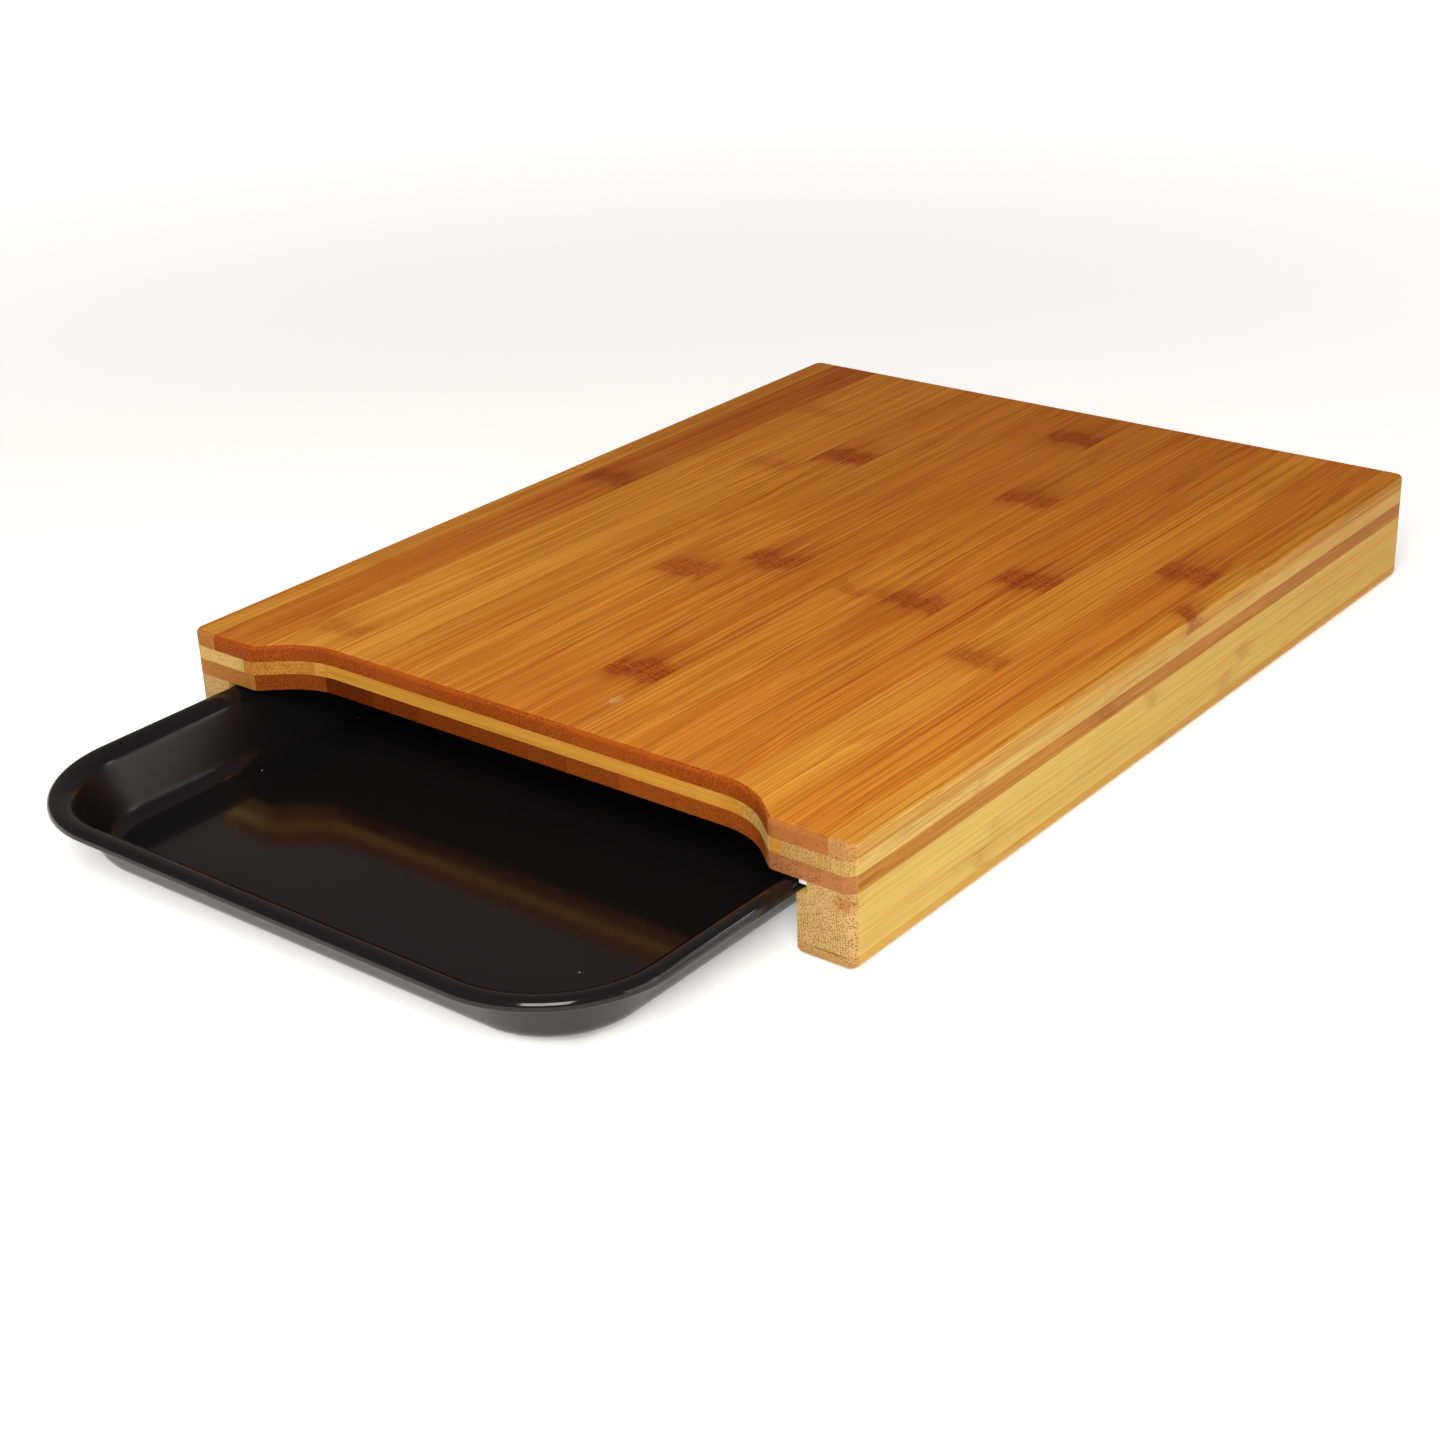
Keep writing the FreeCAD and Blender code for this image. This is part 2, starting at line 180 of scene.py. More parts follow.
# Bamboo fibre: vessels run the length of a stave, so noise that is drawn out along Y shows
# as streaks on its faces and as dots where it is cut across.
bamboo_fibre, given, result = new_group(
    "bamboo_fibre",
    [("Place", "vector"), ("Facing", "vector"), ("Pale", "colour"), ("Deep", "colour"),
     ("Cut End", "colour"), ("Seed", "number"), ("Streaks", "number"), ("Coarseness", "number")],
    [("Colour", "colour"), ("Relief", "number"), ("Roughness", "number"), ("End", "number")])
seed_step = vector_calc(bamboo_fibre, "SCALE", (37.3, 211.7, 53.9))
feed(bamboo_fibre, seed_step.node.inputs["Scale"], given["Seed"])
seeded = vector_calc(bamboo_fibre, "ADD", given["Place"], seed_step)
wander = noise_at(bamboo_fibre, seeded, (0.03, 0.009, 0.03), detail=1.0)
drift = add_node(bamboo_fibre, "ShaderNodeCombineXYZ")
feed(bamboo_fibre, drift.inputs[0], calc(bamboo_fibre, "MULTIPLY", wander, 5.0))
feed(bamboo_fibre, drift.inputs[2], calc(bamboo_fibre, "MULTIPLY", wander, 3.0))
strands = vector_calc(bamboo_fibre, "ADD", seeded, drift.outputs[0])
broad = noise_at(bamboo_fibre, strands, (0.22, 0.0028, 0.22), detail=2.0)
middle = noise_at(bamboo_fibre, strands, (0.70, 0.0045, 0.70), detail=2.0, roughness=0.6)
hair = noise_at(bamboo_fibre, strands, (1.9, 0.010, 1.9), detail=1.0, roughness=0.6)
cloud = noise_at(bamboo_fibre, seeded, (0.045, 0.013, 0.045), detail=2.0)
bands = fade(bamboo_fibre, middle, -0.11, 0.11, -0.5, 0.5)
lines = fade(bamboo_fibre, hair, -0.10, 0.10, -0.5, 0.5)
tone = calc(bamboo_fibre, "MULTIPLY", broad, 1.3)
tone = calc(bamboo_fibre, "MULTIPLY_ADD", bands, 0.48, tone)
tone = calc(bamboo_fibre, "MULTIPLY_ADD", lines, 0.70, tone)
tone = calc(bamboo_fibre, "MULTIPLY_ADD", cloud, 0.8, tone)
tone = calc(bamboo_fibre, "MULTIPLY_ADD", tone, given["Streaks"], 0.5, clamp=True)
along_grain = blend_colours(bamboo_fibre, tone, given["Deep"], given["Pale"])
# Where a noise passes through zero it draws thin lines: dark sheaths, and a few red ones.
sheath = noise_at(bamboo_fibre, strands, (0.55, 0.0030, 0.55), detail=1.0)
sheath = calc(bamboo_fibre, "ABSOLUTE", sheath)
sheath_share = calc(bamboo_fibre, "MULTIPLY",
                    fade(bamboo_fibre, sheath, 0.004, 0.034, 0.40, 0.0), given["Streaks"])
along_grain = blend_colours(bamboo_fibre, sheath_share, along_grain, (0.52, 0.36, 0.24), "MULTIPLY")
thread = noise_at(bamboo_fibre, strands, (0.85, 0.0035, 0.85), detail=1.0)
thread_share = calc(bamboo_fibre, "MULTIPLY", fade(bamboo_fibre, thread, 0.13, 0.20), 0.60)
along_grain = blend_colours(bamboo_fibre, thread_share, along_grain, (0.92, 0.52, 0.40), "MULTIPLY")
vessel_place = vector_calc(bamboo_fibre, "MULTIPLY", strands, (1.75, 0.010, 1.75))
vessel = add_node(bamboo_fibre, "ShaderNodeTexVoronoi", feature="F1")
feed(bamboo_fibre, vessel.inputs["Vector"], vessel_place)
feed(bamboo_fibre, vessel.inputs["Scale"], calc(bamboo_fibre, "DIVIDE", 1.0, given["Coarseness"]))
vessel.inputs["Randomness"].default_value = 0.55
dot = fade(bamboo_fibre, vessel.outputs["Distance"], 0.14, 0.48, 1.0, 0.0)
axes = apart(bamboo_fibre, given["Facing"])
cut_end = fade(bamboo_fibre, calc(bamboo_fibre, "ABSOLUTE", axes[1]), 0.12, 0.55)
end_tone = calc(bamboo_fibre, "MULTIPLY_ADD", broad, 0.9, 0.5, clamp=True)
end_pale = blend_colours(bamboo_fibre, 1.0, given["Cut End"], (1.30, 1.32, 1.38), "MULTIPLY")
across_grain = blend_colours(bamboo_fibre, end_tone, given["Cut End"], end_pale)
across_grain = blend_colours(bamboo_fibre, dot, across_grain, (0.34, 0.26, 0.19), "MULTIPLY")
colour = blend_colours(bamboo_fibre, cut_end, along_grain, across_grain)
feed(bamboo_fibre, result["Colour"], colour)
feed(bamboo_fibre, result["End"], cut_end)
dents = calc(bamboo_fibre, "MULTIPLY", calc(bamboo_fibre, "MULTIPLY", dot, cut_end), -0.5)
relief = calc(bamboo_fibre, "ADD", calc(bamboo_fibre, "MULTIPLY_ADD", hair, 0.9, dents), middle)
feed(bamboo_fibre, result["Relief"], relief)
gloss = calc(bamboo_fibre, "MULTIPLY_ADD", cut_end, 0.18, 0.40)
feed(bamboo_fibre, result["Roughness"], calc(bamboo_fibre, "MULTIPLY_ADD", hair, 0.25, gloss))

# Knuckle: where a wall of the cane crossed it. The fibres knot into a dark curly band,
# ragged at its front end, with a stain that fades along the streaks behind it.
knuckle, given, result = new_group(
    "knuckle",
    [("Colour", "colour"), ("Place", "vector"), ("Seed", "number"), ("Centre", "number"),
     ("Length", "number"), ("Depth", "number"), ("Tone", "colour")],
    [("Colour", "colour"), ("Band", "number")])
seed_step = vector_calc(knuckle, "SCALE", (61.1, 17.3, 29.7))
feed(knuckle, seed_step.node.inputs["Scale"], given["Seed"])
seeded = vector_calc(knuckle, "ADD", given["Place"], seed_step)
ragged = calc(knuckle, "MULTIPLY", noise_at(knuckle, seeded, (0.13, 0.02, 0.13), detail=1.0), 17.0)
ragged = calc(knuckle, "MULTIPLY_ADD", noise_at(knuckle, seeded, (0.9, 0.05, 0.9)), 6.0, ragged)
axes = apart(knuckle, given["Place"])
behind = calc(knuckle, "ADD", calc(knuckle, "SUBTRACT", axes[1], given["Centre"]), ragged)
behind = calc(knuckle, "DIVIDE", behind, given["Length"])
front_fade = fade(knuckle, behind, -0.85, -0.35)
core = calc(knuckle, "MULTIPLY", front_fade, fade(knuckle, behind, 0.25, 1.05, 1.0, 0.0))
stain = calc(knuckle, "MULTIPLY", fade(knuckle, behind, -1.5, -0.2),
             fade(knuckle, behind, 0.2, 2.5, 1.0, 0.0))
streaky = calc(knuckle, "MULTIPLY_ADD", noise_at(knuckle, seeded, (0.9, 0.02, 0.9)), 1.6, 0.55,
               clamp=True)
stain = calc(knuckle, "MULTIPLY", calc(knuckle, "MULTIPLY", stain, streaky), 0.60)
curl = noise_at(knuckle, seeded, (0.26, 0.80, 0.26), detail=3.0, roughness=0.65, distortion=1.5)
curl = fade(knuckle, calc(knuckle, "ABSOLUTE", curl), 0.005, 0.09, 0.35, 1.0)
band = calc(knuckle, "MAXIMUM", calc(knuckle, "MULTIPLY", core, curl), stain)
band = calc(knuckle, "MULTIPLY", band, given["Depth"], clamp=True)
feed(knuckle, result["Band"], band)
feed(knuckle, result["Colour"],
     blend_colours(knuckle, band, given["Colour"], given["Tone"], "MULTIPLY"))

# Glue line: the thin darker line left between two glued faces, at a low and a high edge.
glue_line, given, result = new_group(
    "glue_line",
    [("Colour", "colour"), ("Across", "number"), ("Low", "number"), ("High", "number"),
     ("Width", "number"), ("Depth", "number")],
    [("Colour", "colour")])
to_low = calc(glue_line, "ABSOLUTE", calc(glue_line, "SUBTRACT", given["Across"], given["Low"]))
to_high = calc(glue_line, "ABSOLUTE", calc(glue_line, "SUBTRACT", given["Across"], given["High"]))
nearest = calc(glue_line, "MINIMUM", to_low, to_high)
line = fade(glue_line, calc(glue_line, "DIVIDE", nearest, given["Width"]), 0.2, 1.0, 1.0, 0.0)
line = calc(glue_line, "MULTIPLY", line, given["Depth"])
feed(glue_line, result["Colour"],
     blend_colours(glue_line, line, given["Colour"], (0.42, 0.30, 0.22), "MULTIPLY"))

# Front sheen and back shade: painted light on the long faces, a painted sheen paler and bluer
# at the front and painted shade darker and redder toward the back. Cut ends are left as they are.
front_sheen_back_shade, given, result = new_group(
    "front_sheen_back_shade",
    [("Colour", "colour"), ("Place", "vector"), ("End", "number"), ("Strength", "number")],
    [("Colour", "colour")])
axes = apart(front_sheen_back_shade, given["Place"])
drift = calc(front_sheen_back_shade, "MULTIPLY", noise_at(front_sheen_back_shade, given["Place"], (0.02, 0.01, 0.02)), 60.0)
from_front = fade(front_sheen_back_shade, calc(front_sheen_back_shade, "ADD", axes[1], drift), -150.0, 250.0)
painted_sheen_tint = blend_colours(front_sheen_back_shade, from_front, (1.02, 1.09, 1.30), (0.90, 0.82, 0.70))
long_side = calc(front_sheen_back_shade, "SUBTRACT", 1.0, given["End"])
long_side = calc(front_sheen_back_shade, "MULTIPLY", long_side, given["Strength"])
feed(front_sheen_back_shade, result["Colour"],
     blend_colours(front_sheen_back_shade, long_side, given["Colour"], painted_sheen_tint, "MULTIPLY"))

# Eased edge: sanding leaves the rounded edges a little paler than the faces beside them.
eased_edge, given, result = new_group(
    "eased_edge",
    [("Colour", "colour"), ("Facing", "vector"), ("Lift", "number")],
    [("Colour", "colour")])
axes = apart(eased_edge, given["Facing"])
up = calc(eased_edge, "ABSOLUTE", axes[2])
turned = calc(eased_edge, "MULTIPLY", fade(eased_edge, up, 0.10, 0.45),
              fade(eased_edge, up, 0.75, 0.97, 1.0, 0.0))
feed(eased_edge, result["Colour"],
     blend_colours(eased_edge, calc(eased_edge, "MULTIPLY", turned, given["Lift"]),
                   given["Colour"], (1.35, 1.38, 1.45), "MULTIPLY"))


def bamboo(name, fibre, cut_end, seed, knuckles=(), edges=None, across="x", turned=False,
           streaks=1.0, coarseness=1.2, seam=0.35, lift=0.05, sheen_share=1.0,
           flank=None, marks=None):
    """An oiled bamboo material. fibre is its pale and deep colour, knuckles are (centre along
    the grain, length, depth) in mm, edges the two glue lines across the axis named, seam their
    depth, coarseness the spacing of the vessels against the usual 0.57 mm, sheen_share how much
    painted sheen at the front and painted shade at the back it gets, and flank how the sawn side
    of an outer stave differs in colour from its face, whose round gets painted shade."""
    material, tree, shader = new_material(name)
    where = add_node(tree, "ShaderNodeTexCoord")
    place = vector_calc(tree, "MULTIPLY", where.outputs["Object"], TO_MM)
    facing = where.outputs["Normal"]
    if turned:
        quarter = (0.0, 0.0, math.pi / 2)
        for_place = add_node(tree, "ShaderNodeMapping", vector_type="POINT")
        for_facing = add_node(tree, "ShaderNodeMapping", vector_type="POINT")
        for mapping, source in ((for_place, place), (for_facing, facing)):
            feed(tree, mapping.inputs["Vector"], source)
            mapping.inputs["Rotation"].default_value = quarter
        grain_place, grain_facing = for_place.outputs[0], for_facing.outputs[0]
    else:
        grain_place, grain_facing = place, facing
    stock = use_group(tree, bamboo_fibre, Place=grain_place, Facing=grain_facing, Pale=fibre[0],
                      Deep=fibre[1], Cut_End=cut_end, Seed=seed, Streaks=streaks,
                      Coarseness=coarseness)
    colour = stock["Colour"]
    for number, (centre, length, depth) in enumerate(knuckles):
        found = use_group(tree, knuckle, Colour=colour, Place=grain_place,
                          Seed=seed + 0.37 * number, Centre=centre, Length=length, Depth=depth,
                          Tone=KNUCKLE_TONE)
        colour = found["Colour"]
    # Painted sheen at the front and painted shade toward the back of the long faces.
    if not turned:
        colour = use_group(tree, front_sheen_back_shade, Colour=colour, Place=place, End=stock["End"],
                           Strength=sheen_share)["Colour"]
    if marks:
        colour = marks(tree, colour, place)
    if flank:
        axes = apart(tree, facing)
        outward = calc(tree, "ABSOLUTE", axes[0])
        off_end = calc(tree, "SUBTRACT", 1.0, stock["End"])
        sideways = calc(tree, "MULTIPLY", fade(tree, outward, 0.30, 0.85), off_end)
        colour = blend_colours(tree, sideways, colour, flank, "MULTIPLY")
        # Painted shade on the round between the face and the side of the stave.
        round_shade = calc(tree, "MULTIPLY", fade(tree, outward, 0.03, 0.30),
                      fade(tree, outward, 0.75, 0.97, 1.0, 0.0))
        round_shade = calc(tree, "MULTIPLY", round_shade, off_end)
        colour = blend_colours(tree, round_shade, colour, PAINTED_EDGE_SHADE, "MULTIPLY")
    if edges:
        axes = apart(tree, place)
        colour = use_group(tree, glue_line, Colour=colour,
                           Across=axes["xyz".index(across)], Low=edges[0],
                           High=edges[1], Width=GLUE_WIDTH, Depth=seam)["Colour"]
    colour = use_group(tree, eased_edge, Colour=colour, Facing=facing, Lift=lift)["Colour"]
    feed(tree, shader.inputs["Base Color"], colour)
    feed(tree, shader.inputs["Roughness"], stock["Roughness"])
    shader.inputs["IOR"].default_value = 1.30
    shader.inputs["Specular IOR Level"].default_value = 0.12
    roughen(tree, shader, stock["Relief"], 0.22, 0.0002)
    return material


def dress(node_name, material):
    """Gives a CAD node its finished material."""
    nodes[node_name].material_slots[0].material = material


SCUFF_SPOT = (22.5, -99.5, 44.0)      # mm, on the oiled face


def far_from(tree, place, spot, stretch):
    """The distance of a place from a spot, with each axis stretched by its own factor."""
    offset = vector_calc(tree, "SUBTRACT", place, spot)
    length = add_node(tree, "ShaderNodeVectorMath", operation="LENGTH")
    feed(tree, length.inputs[0], vector_calc(tree, "MULTIPLY", offset, stretch))
    return length.outputs["Value"]


def scuffed(tree, colour, place):
    """A small pale scuff with a ragged outline."""
    away = far_from(tree, place, SCUFF_SPOT, (0.26, 0.17, 0.3))
    fray = noise_at(tree, place, (0.5, 0.5, 0.5), detail=3.0)
    ragged = calc(tree, "MULTIPLY_ADD", fray, 2.2, away)
    rubbed = calc(tree, "MULTIPLY", fade(tree, ragged, -0.2, 1.0, 1.0, 0.0), 0.30)
    return blend_colours(tree, rubbed, colour, (0.74, 0.52, 0.26))


def stave_edges(number, first):
    """Where the two edges of a stave lie across the board, when the first one is this wide."""
    low = -BOARD_HALF + (first + (number - 2) * STAVE_PITCH if number > 1 else 0.0)
    high = min(-BOARD_HALF + first + (number - 1) * STAVE_PITCH, BOARD_HALF)
    return low, high


# Shade, then the knuckles of each stave: distance from the front edge, length and depth.
TOP_STAVES = [
    ("wheat", []),
    ("russet", [(205, 14, 0.80)]),
    ("straw", [(320, 9, 0.35), (31, 9, 0.55)]),
    ("straw", [(255, 9, 0.45)]),
    ("honey", [(278, 14, 1.00)]),
    ("honey", [(144, 14, 0.90)]),
    ("amber", [(168, 13, 0.90)]),
    ("amber", [(349, 13, 0.90), (62, 14, 1.00)]),
    ("honey", [(277, 12, 0.90), (160, 7, 0.50)]),
    ("amber", [(162, 12, 0.90)]),
    ("amber", [(203, 14, 0.95)]),
    ("straw", [(134, 11, 0.75)]),
    ("amber", [(240, 13, 0.90)]),
    ("wheat", [(206, 8, 0.90)]),
]
for number, (shade, found) in enumerate(TOP_STAVES, start=1):
    outermost = number in (1, 14)
    dress(f"top_stave_{number:02d}", bamboo(
        f"top_stave_{number:02d}_oiled", SHADES[shade],
        {1: LEFT_END, 13: RIGHT_END, 14: PALE_END}.get(number, NOTCH_END),
        seed=number * 1.0, knuckles=[(FRONT_EDGE + y, length, depth) for y, length, depth in found],
        edges=stave_edges(number, TOP_FIRST), flank=SAWN_SIDE if outermost else None,
        marks=scuffed if number == 8 else None))

# ---------------------------------------------------------------------------
# Core ply. Unsteamed pale bamboo: lengthwise border staves at both sides, with slats laid
# across between them, so its long grain shows in the front notch and at the back edge.
# ---------------------------------------------------------------------------
RAW_FIBRE = ((0.660, 0.450, 0.120), (0.530, 0.320, 0.070))
RAW_END = (0.470, 0.305, 0.090)
SHADED_END = (0.345, 0.205, 0.062)
WARM_END = (0.420, 0.170, 0.028)
GOLDEN_FIBRE = ((0.600, 0.300, 0.045), (0.465, 0.195, 0.024))

CORE_STAVES = {
    "core_left_outer_stave": (-146.0, -138.0, RAW_END, [(-66, 7, 0.25)]),
    "core_left_middle_stave": (-138.0, -119.5, RAW_END, [(20, 7, 0.25)]),
    "core_left_inner_stave": (-119.5, -96.5, WARM_END, [(110, 7, 0.25)]),
    "core_right_middle_stave": (119.5, 138.0, SHADED_END, [(-12, 7, 0.25)]),
    "core_right_outer_stave": (138.0, 146.0, SHADED_END, [(-66, 5, 0.30)]),
}
for number, (name, (low, high, end, found)) in enumerate(CORE_STAVES.items(), start=1):
    dress(name, bamboo(f"{name}_oiled", RAW_FIBRE, end, seed=20.0 + number, knuckles=found,
                       edges=(low, high), streaks=0.8, lift=0.1))

SLAT_PITCH = 31.75
for number in range(1, 13):
    low = FRONT_EDGE + (number - 1) * SLAT_PITCH
    dress(f"core_slat_{number:02d}", bamboo(
        f"core_slat_{number:02d}_oiled", GOLDEN_FIBRE, RAW_END, seed=30.0 + number,
        knuckles=[(-70.0 + 53.0 * (number * 3 % 5), 6, 0.25)], edges=(low, low + SLAT_PITCH),
        across="y", turned=True, streaks=0.8, lift=0.1))

# ---------------------------------------------------------------------------
# Bottom ply. Fourteen staves like the top, steamed darker to caramel, glued up so that no
# glue line falls straight under one of the top's.
# ---------------------------------------------------------------------------
CARAMEL = ((0.500, 0.225, 0.032), (0.370, 0.142, 0.014))
CARAMEL_DEEP = ((0.440, 0.180, 0.028), (0.320, 0.108, 0.013))
# Painted shade on the ends of the bottom ply in the notch, darker at the left of it, lighter at the
# right.
NOTCH_SHADE_LEFT = (0.40, 0.34, 0.33)
NOTCH_SHADE_RIGHT = (1.00, 1.12, 1.33)
NOTCH_SHADE_THIRD = (0.75, 0.80, 1.00)
NOTCH_FLOOR = -124.0
BOTTOM_FIRST = 8.6


def notch_shaded(tint):
    """A function that paints shade, tinting a colour by the given factors, on the faces of the
    notch alone.
    """
    def tinted(tree, colour, place):
        axes = apart(tree, place)
        in_notch = fade(tree, axes[1], NOTCH_FLOOR + 0.5, NOTCH_FLOOR + 2.0, 1.0, 0.0)
        return blend_colours(tree, in_notch, colour, tint, "MULTIPLY")
    return tinted


for number in range(1, 15):
    fibre = CARAMEL_DEEP if number % 3 == 0 else CARAMEL
    centre = 9.0 if number == 14 else FRONT_EDGE + 30.0 + 331.0 * (number * 0.382 % 1.0)
    # Painted shade in the notch, darkest at the left and lightest at the right; the third stave
    # gets a lighter one.
    share = (number - 4) / 8.0
    notch_shade = tuple(a + (b - a) * share for a, b in zip(NOTCH_SHADE_LEFT, NOTCH_SHADE_RIGHT))
    at_corner = number in (1, 2, 13, 14)
    dress(f"bottom_stave_{number:02d}", bamboo(
        f"bottom_stave_{number:02d}_oiled", fibre,
        {1: LEFT_END, 2: LEFT_END, 13: RIGHT_END_BELOW, 14: RIGHT_END_BELOW}.get(number, NOTCH_END),
        seed=50.0 + number, knuckles=[(centre, 8, 0.40)],
        edges=stave_edges(number, BOTTOM_FIRST), lift=0.1,
        marks=None if at_corner else notch_shaded(NOTCH_SHADE_THIRD if number == 3 else notch_shade)))

# ---------------------------------------------------------------------------
# Side rails. Each is four layers of bamboo glued face to face: a caramel foot strip, then
# three pale layers, the last one rebated for the rim of the tray.
# ---------------------------------------------------------------------------
RAIL_FIBRE = ((0.545, 0.368, 0.086), (0.425, 0.257, 0.049))
RAIL_END = (0.385, 0.240, 0.090)
STRIP_FIBRE = ((0.510, 0.285, 0.045), (0.400, 0.195, 0.024))
STRIP_END = (0.340, 0.190, 0.065)
RAIL_HEIGHT = 27.0           # mm
RAIL_LEVELS = {"foot_strip": (0.0, 5.4), "lower_layer": (5.4, 12.6),
               "middle_layer": (12.6, 19.8), "upper_layer": (19.8, RAIL_HEIGHT)}
RAIL_KNUCKLES = {
    "right_foot_strip": [(46, 5, 0.35)],
    "right_lower_layer": [(-70, 5, 0.30), (92, 6, 0.35)],
    "right_middle_layer": [(-61, 6, 0.15), (108, 6, 0.35)],
    "right_upper_layer": [(40, 6, 0.35)],
    "left_foot_strip": [(-20, 5, 0.35)],
    "left_lower_layer": [(140, 6, 0.30)],
    "left_middle_layer": [(15, 6, 0.30)],
    "left_upper_layer": [(-75, 6, 0.35)],
}
LAYER_COARSENESS = {"foot_strip": 1.1, "lower_layer": 1.5,
                    "middle_layer": 1.4, "upper_layer": 1.15}
STAIN_SPOT = (142.6, FRONT_EDGE, 23.4)
SPLIT_HEIGHT = 5.35          # mm, just under the top of the foot strip
SPLIT_CENTRE = 137.5


def stained(tree, colour, place):
    """A brown stain where the cane's skin was left on, at the outer front corner of a layer."""
    away = far_from(tree, place, STAIN_SPOT, (0.20, 0.12, 0.30))
    fray = noise_at(tree, place, (0.6, 0.1, 0.6), detail=2.0)
    ragged = calc(tree, "MULTIPLY_ADD", fray, 1.6, away)
    soaked = calc(tree, "MULTIPLY", fade(tree, ragged, 0.2, 1.2, 1.0, 0.0), 0.85)
    return blend_colours(tree, soaked, colour, (0.74, 0.46, 0.26), "MULTIPLY")


def parted(tree, colour, place):
    """A dark split in the glue line on top of the foot strip, along 12 mm of its front end."""
    axes = apart(tree, place)
    wander = calc(tree, "MULTIPLY", noise_at(tree, place, (0.25, 0.25, 0.25)), 0.5)
    above = calc(tree, "ADD", calc(tree, "SUBTRACT", axes[2], SPLIT_HEIGHT), wander)
    above = calc(tree, "ABSOLUTE", above)
    beside = calc(tree, "ABSOLUTE", calc(tree, "SUBTRACT", axes[0], SPLIT_CENTRE))
    line = calc(tree, "MULTIPLY", fade(tree, above, 0.15, 0.55, 1.0, 0.0),
                fade(tree, beside, 5.0, 6.5, 1.0, 0.0))
    at_front = fade(tree, axes[1], FRONT_EDGE + 0.5, FRONT_EDGE + 1.5, 0.8, 0.0)
    line = calc(tree, "MULTIPLY", line, at_front)
    return blend_colours(tree, line, colour, (0.30, 0.16, 0.08), "MULTIPLY")


RAIL_MARKS = {"right_upper_layer": stained, "right_foot_strip": parted}
seed = 70.0
for side in ("left", "right"):
    for layer, (low, high) in RAIL_LEVELS.items():
        seed += 1.0
        strip = layer == "foot_strip"
        dress(f"{side}_rail_{layer}", bamboo(
            f"{side}_rail_{layer}_oiled", STRIP_FIBRE if strip else RAIL_FIBRE,
            STRIP_END if strip else RAIL_END, seed=seed, knuckles=RAIL_KNUCKLES[f"{side}_{layer}"],
            edges=(low, high), across="z", streaks=0.45, coarseness=LAYER_COARSENESS[layer],
            seam=0.4 if strip else 0.15, lift=0.1, sheen_share=1.0 if strip else 0.7,
            marks=RAIL_MARKS.get(f"{side}_{layer}")))

# ---------------------------------------------------------------------------
# Rear rail. One pale bar of bamboo across the back, glued between the side rails.
# ---------------------------------------------------------------------------
dress("rear_rail", bamboo("rear_rail_oiled", RAIL_FIBRE, RAIL_END, seed=90.0,
                          knuckles=[(-58, 7, 0.35), (71, 7, 0.35)], edges=(0.0, RAIL_HEIGHT),
                          across="z", turned=True, streaks=0.8, lift=0.1))

# ---------------------------------------------------------------------------
# Glide pad. A small off-white nylon block glued into the right groove, where the rim of
# the tray runs against it; its faces keep a fine moulded grain.
# ---------------------------------------------------------------------------
glide_finish, tree, shader = new_material("glide_pad_nylon")
where = add_node(tree, "ShaderNodeTexCoord")
place = vector_calc(tree, "MULTIPLY", where.outputs["Object"], TO_MM)
mottle = noise_at(tree, place, (0.8, 0.8, 0.8), detail=3.0)
feed(tree, shader.inputs["Base Color"],
     blend_colours(tree, calc(tree, "ADD", mottle, 0.5), (0.52, 0.49, 0.42), (0.68, 0.66, 0.60)))
feed(tree, shader.inputs["Roughness"], calc(tree, "MULTIPLY_ADD", mottle, 0.3, 0.5))
roughen(tree, shader, noise_at(tree, place, (6.0, 6.0, 6.0)), 0.3, 0.0001)
dress("glide_pad", glide_finish)

# ---------------------------------------------------------------------------
# Tray. One thin moulding in gloss black plastic: a shallow pan whose sloping walls are
# bent into its floor and roll over at the top into a rim, which hangs on the rails.
# ---------------------------------------------------------------------------
RIM_HALF = 127.15            # mm, across
TRAY_CENTRE = -1.15
TRAY_FRONT = -243.0
TRAY_BACK = 124.0
RIM_CORNER = 46.0
RIM_BOTTOM, RIM_TOP = 22.6, 26.1
FLOOR_TOP, FLOOR_BOTTOM = 4.0, 2.0
OVERHANG = 7.0
WALL = 2.0
WALL_LEAN = math.radians(26.0)
WALL_SLOPE = math.tan(WALL_LEAN)
WALL_ACROSS = WALL / math.cos(WALL_LEAN)
MOUTH = OVERHANG + WALL_ACROSS - (RIM_TOP - RIM_BOTTOM) * WALL_SLOPE
CREST = 0.3
OUTER_ROLL = 2.6
INNER_ROLL = (MOUTH - OUTER_ROLL - CREST) / math.tan((math.pi / 2 - WALL_LEAN) / 2)
LOWER_ROUND = 0.4
RIM_ROOT_ROUND = 0.15
FLOOR_BEND = 8.0
FLOOR_INSET = 30.0           # where the swept profile ends and the level floor begins


